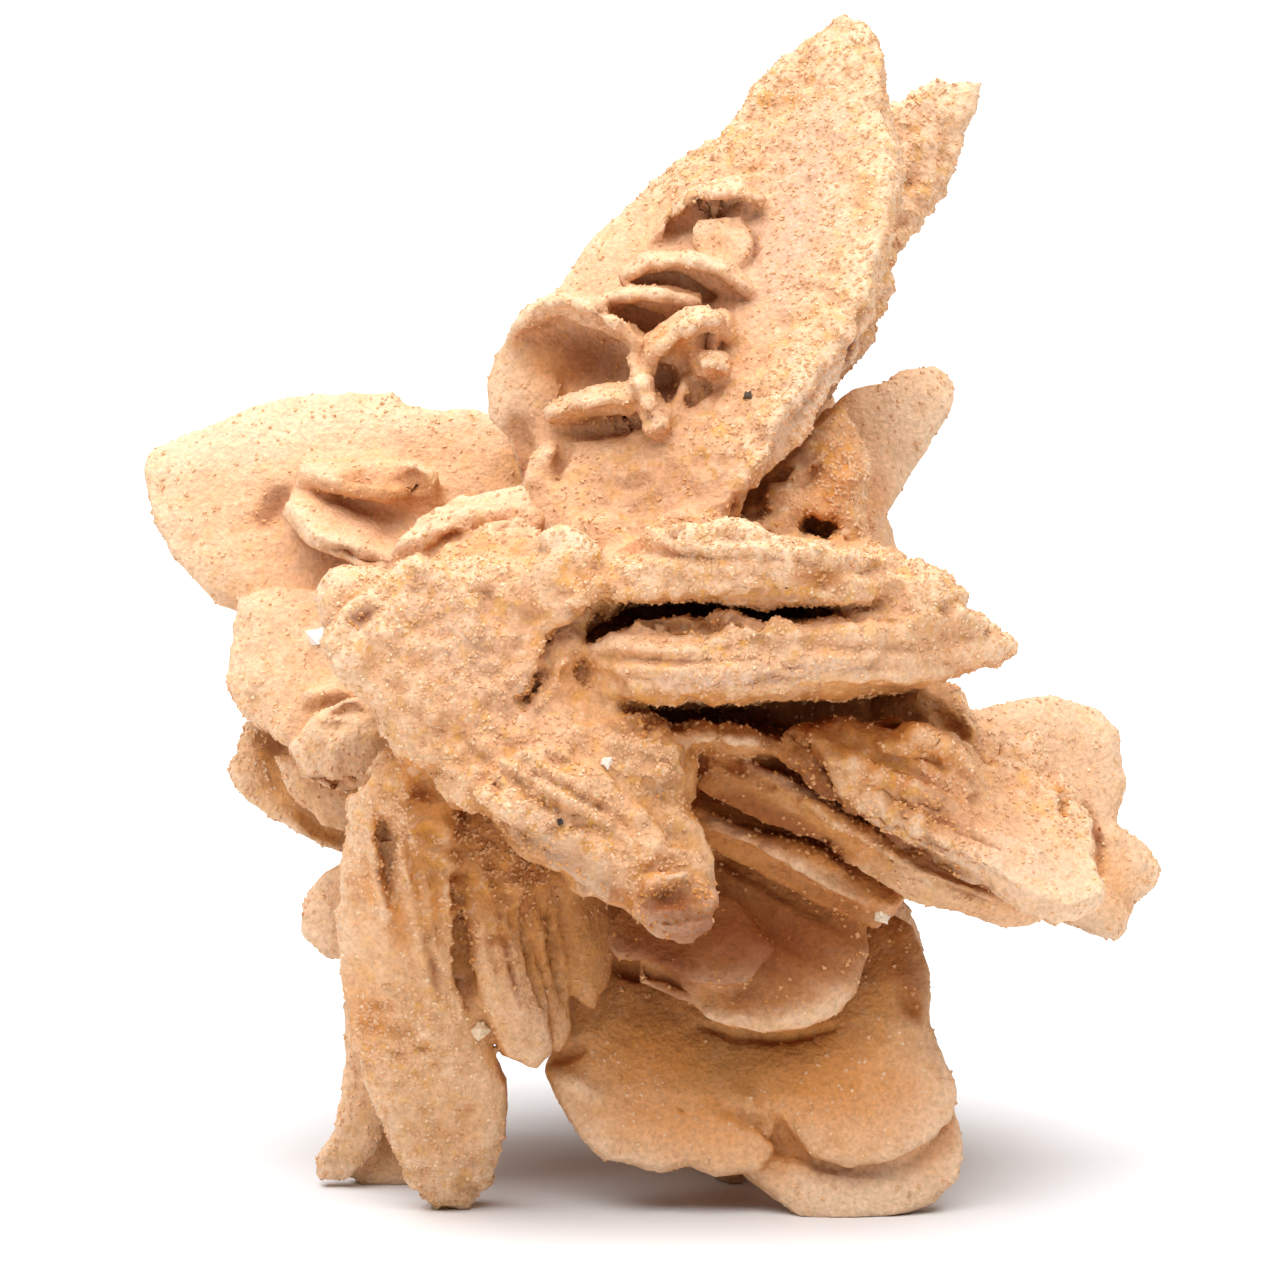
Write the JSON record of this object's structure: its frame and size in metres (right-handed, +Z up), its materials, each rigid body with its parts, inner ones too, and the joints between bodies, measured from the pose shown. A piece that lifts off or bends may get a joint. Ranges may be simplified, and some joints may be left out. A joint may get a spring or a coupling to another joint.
{
  "type": "sand rose",
  "caption": "Gypsum sand rose: a cluster of thick sandy blades grown through each other, one tall blade leaning back, standing on its lowest blade tips.",
  "frame": {"origin": "on the surface the rose stands on, under the middle of its bounding box", "axes": "+X to the right as seen from the front, +Y away from the front, +Z up along the tall blade's height"},
  "size_m": [0.051, 0.042, 0.0581],
  "materials": {
    "sandy_gypsum": "matt, grainy, tan sand bound in gypsum"
  },
  "bodies": {
    "root": {"sand_rose": "sandy_gypsum"}
  },
  "joints": []
}
